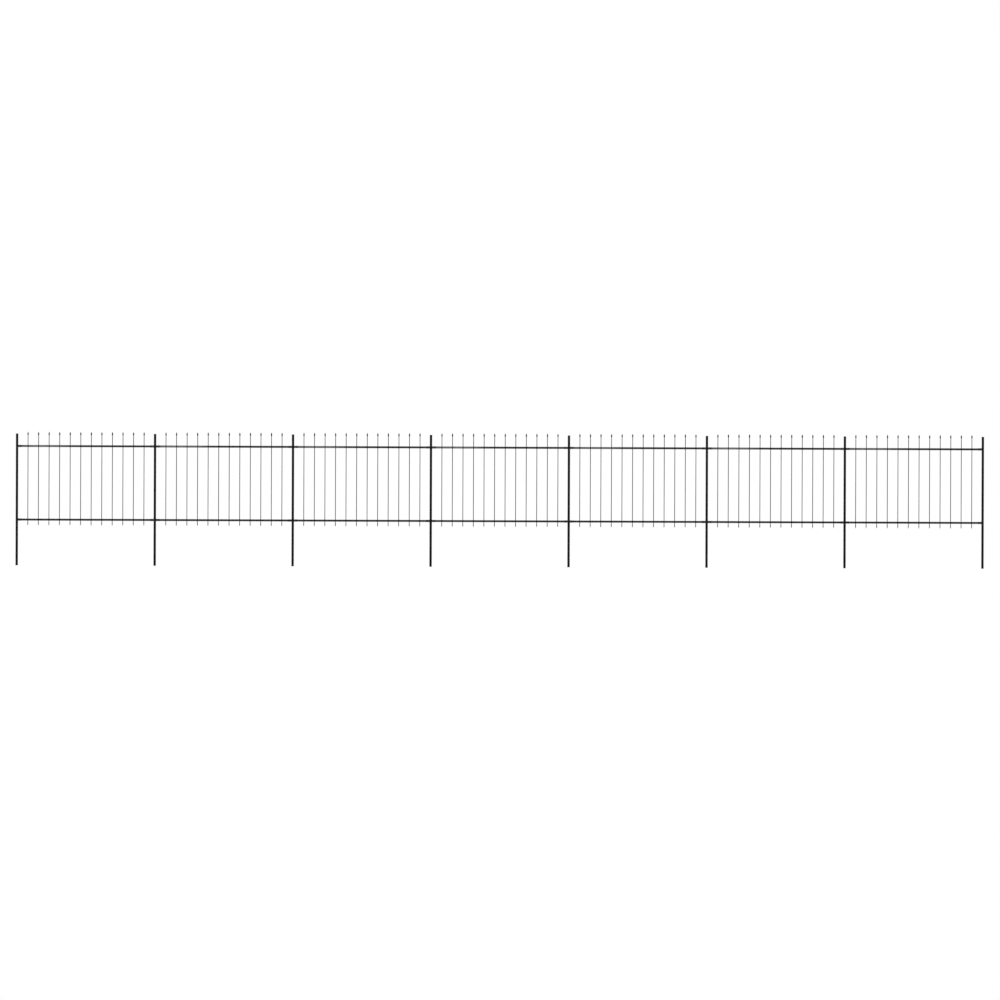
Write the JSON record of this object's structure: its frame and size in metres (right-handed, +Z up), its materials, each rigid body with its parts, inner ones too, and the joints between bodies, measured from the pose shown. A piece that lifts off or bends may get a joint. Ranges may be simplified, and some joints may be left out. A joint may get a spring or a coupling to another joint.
{
  "type": "garden fence",
  "caption": "Straight black steel garden fence: round capped posts, square rails and slender spear-topped pickets in open bays, bolted to forked brackets.",
  "frame": {"origin": "centre of the left end post's foot, on the flat end of its tube", "axes": "+X along the fence to the right, +Z up, -Y the side on which the pickets stand and the picture is taken"},
  "size_m": [11.932, 0.0375, 1.647],
  "materials": {
    "post_paint": "satin black powder coat on steel tube",
    "panel_paint": "satin black powder coat on welded steel",
    "bracket_paint": "satin black powder coat on steel sheet",
    "cap_plastic": "moulded black polypropylene"
  },
  "bodies": {
    "root": {"end_post_caps": "cap_plastic", "fence_panel_1": "panel_paint", "fence_panel_2": "panel_paint", "fence_panel_3": "panel_paint", "fence_panel_4": "panel_paint", "fence_panel_5": "panel_paint", "fence_panel_6": "panel_paint", "fence_panel_7": "panel_paint", "lower_brackets_1": "bracket_paint", "lower_brackets_2": "bracket_paint", "lower_brackets_3": "bracket_paint", "lower_brackets_4": "bracket_paint", "lower_brackets_5": "bracket_paint", "lower_brackets_6": "bracket_paint", "lower_brackets_7": "bracket_paint", "middle_post_caps": "cap_plastic", "post_1": "post_paint", "post_2": "post_paint", "post_3": "post_paint", "post_4": "post_paint", "post_5": "post_paint", "post_6": "post_paint", "post_7": "post_paint", "post_8": "post_paint", "upper_brackets_1": "bracket_paint", "upper_brackets_2": "bracket_paint", "upper_brackets_3": "bracket_paint", "upper_brackets_4": "bracket_paint", "upper_brackets_5": "bracket_paint", "upper_brackets_6": "bracket_paint", "upper_brackets_7": "bracket_paint"}
  },
  "joints": []
}
